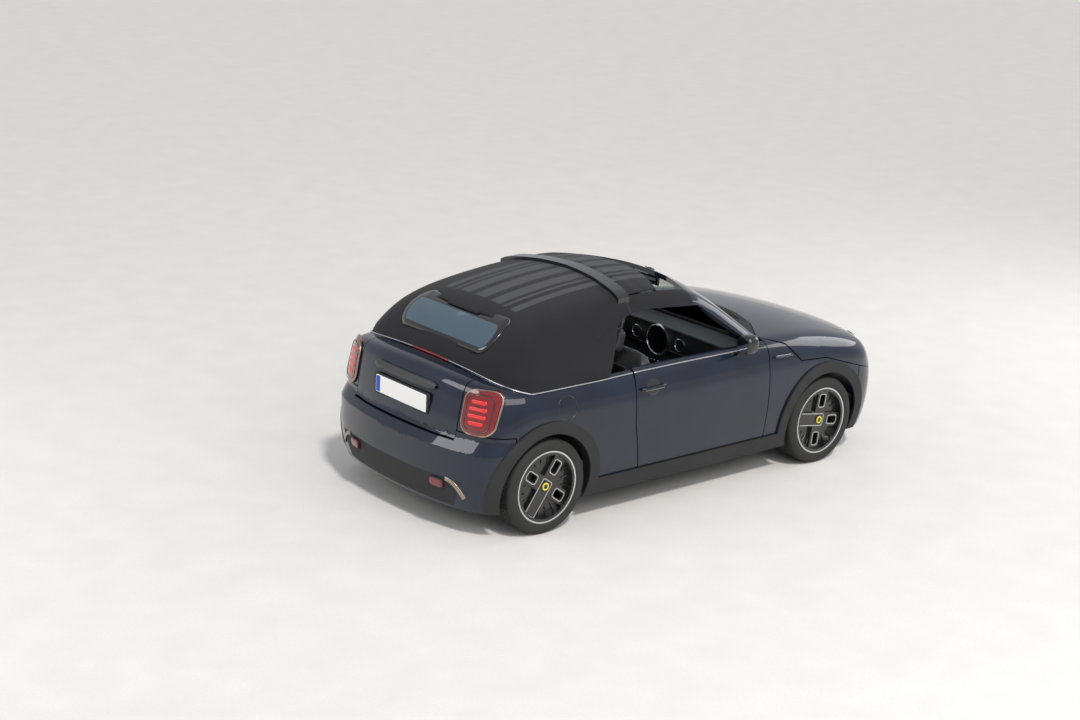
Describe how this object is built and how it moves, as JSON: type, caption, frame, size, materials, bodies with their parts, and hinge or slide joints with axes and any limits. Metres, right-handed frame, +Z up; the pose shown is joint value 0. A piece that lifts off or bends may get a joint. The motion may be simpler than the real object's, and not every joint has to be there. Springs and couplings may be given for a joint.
{
  "type": "convertible car",
  "caption": "Small electric convertible with a part-open fabric top, opening doors, clamshell bonnet, drop-down tailgate and steered front wheels.",
  "frame": {"origin": "on the ground, at the middle of the length and of the width", "axes": "+X forward, +Y to the car's left, +Z up"},
  "size_m": [3.8615, 1.93, 1.44],
  "materials": {
    "body_paint": "metallic clear coat",
    "matt_black_plastic": "grained",
    "gloss_black": "gloss",
    "bright_trim": "satin",
    "top_fabric": "woven",
    "clear_glass": "clear",
    "lamp_red": "clear",
    "lamp_clear": "clear",
    "tyre_rubber": "matt",
    "wheel_finish": "gloss black with turned faces",
    "chassis_metal": "satin",
    "cast_metal": "cast",
    "mass_block": "satin",
    "seat_leather": "grained",
    "dash_plastic": "grained"
  },
  "bodies": {
    "chassis": {"front_wings": "body_paint", "cowl_panel": "matt_black_plastic", "front_bumper": "body_paint", "front_grilles": "gloss_black", "headlamps": "lamp_clear", "belt_strip_rear": "bright_trim", "rear_body": "body_paint", "tail_lamps": "lamp_red", "rear_bumper": "body_paint", "bumper_insert": "matt_black_plastic", "fog_lamps": "lamp_red", "windscreen_frame": "gloss_black", "windscreen": "clear_glass", "folding_top": "top_fabric", "rear_window": "clear_glass", "sliding_panel": "top_fabric", "roof_bow": "gloss_black", "roof_side_rails": "gloss_black", "arch_and_sill_trims": "matt_black_plastic", "front_axle": "chassis_metal", "rear_axle": "chassis_metal", "floor_pan": "chassis_metal", "battery_pack": "mass_block", "drive_unit": "mass_block", "radiator_panel": "chassis_metal", "dashboard": "dash_plastic", "centre_console": "dash_plastic", "front_seat_right": "seat_leather", "front_seat_left": "seat_leather", "rear_bench": "seat_leather"},
    "door_right": {"door_right": "body_paint", "door_mirror_right": "gloss_black"},
    "door_left": {"door_left": "body_paint", "door_mirror_left": "gloss_black"},
    "bonnet": {"bonnet": "body_paint"},
    "tailgate": {"tailgate": "body_paint"},
    "knuckle_right": {"knuckle_right": "cast_metal"},
    "knuckle_left": {"knuckle_left": "cast_metal"},
    "wheel_front_right": {"rim_front_right": "wheel_finish", "tyre_front_right": "tyre_rubber"},
    "wheel_front_left": {"rim_front_left": "wheel_finish", "tyre_front_left": "tyre_rubber"},
    "wheel_rear_right": {"rim_rear_right": "wheel_finish", "tyre_rear_right": "tyre_rubber"},
    "wheel_rear_left": {"rim_rear_left": "wheel_finish", "tyre_rear_left": "tyre_rubber"},
    "steering_wheel": {"steering_wheel": "seat_leather"}
  },
  "joints": [
    {"name": "steer_left", "type": "hinge", "parent": "chassis", "child": "knuckle_left", "pos_m": [1.1465, 0.69, 0.2], "axis": [0, -0.2349, 0.972], "range_deg": [-32, 32]},
    {"name": "steer_right", "type": "hinge", "parent": "chassis", "child": "knuckle_right", "pos_m": [1.1465, -0.69, 0.2], "axis": [0, 0.2349, 0.972], "range_deg": [-32, 32]},
    {"name": "steering_wheel_turn", "type": "hinge", "parent": "chassis", "child": "steering_wheel", "pos_m": [0.15, 0.36, 0.865], "axis": [-0.9135, 0, 0.4067], "range_deg": [-450, 450]},
    {"name": "door_right_hinge", "type": "hinge", "parent": "chassis", "child": "door_right", "pos_m": [0.5355, -0.84, 0.6], "axis": [0, 0, 1], "range_deg": [0, 65]},
    {"name": "door_left_hinge", "type": "hinge", "parent": "chassis", "child": "door_left", "pos_m": [0.5355, 0.84, 0.6], "axis": [0, 0, -1], "range_deg": [0, 65]},
    {"name": "bonnet_hinge", "type": "hinge", "parent": "chassis", "child": "bonnet", "pos_m": [0.5455, 0, 0.972], "axis": [0, -1, 0], "range_deg": [0, 50]},
    {"name": "tailgate_hinge", "type": "hinge", "parent": "chassis", "child": "tailgate", "pos_m": [-1.88, 0, 0.628], "axis": [0, -1, 0], "range_deg": [0, 90]},
    {"name": "front_right_spin", "type": "hinge", "parent": "knuckle_right", "child": "wheel_front_right", "pos_m": [1.1465, -0.7425, 0.308], "axis": [0, 1, 0], "continuous": true},
    {"name": "rear_right_spin", "type": "hinge", "parent": "chassis", "child": "wheel_rear_right", "pos_m": [-1.3485, -0.7425, 0.308], "axis": [0, 1, 0], "continuous": true},
    {"name": "front_left_spin", "type": "hinge", "parent": "knuckle_left", "child": "wheel_front_left", "pos_m": [1.1465, 0.7425, 0.308], "axis": [0, 1, 0], "continuous": true},
    {"name": "rear_left_spin", "type": "hinge", "parent": "chassis", "child": "wheel_rear_left", "pos_m": [-1.3485, 0.7425, 0.308], "axis": [0, 1, 0], "continuous": true}
  ],
  "couplings": [
    {"joint": "steer_right", "follows": "steer_left", "ratio": 1},
    {"joint": "steering_wheel_turn", "follows": "steer_left", "ratio": 14}
  ]
}
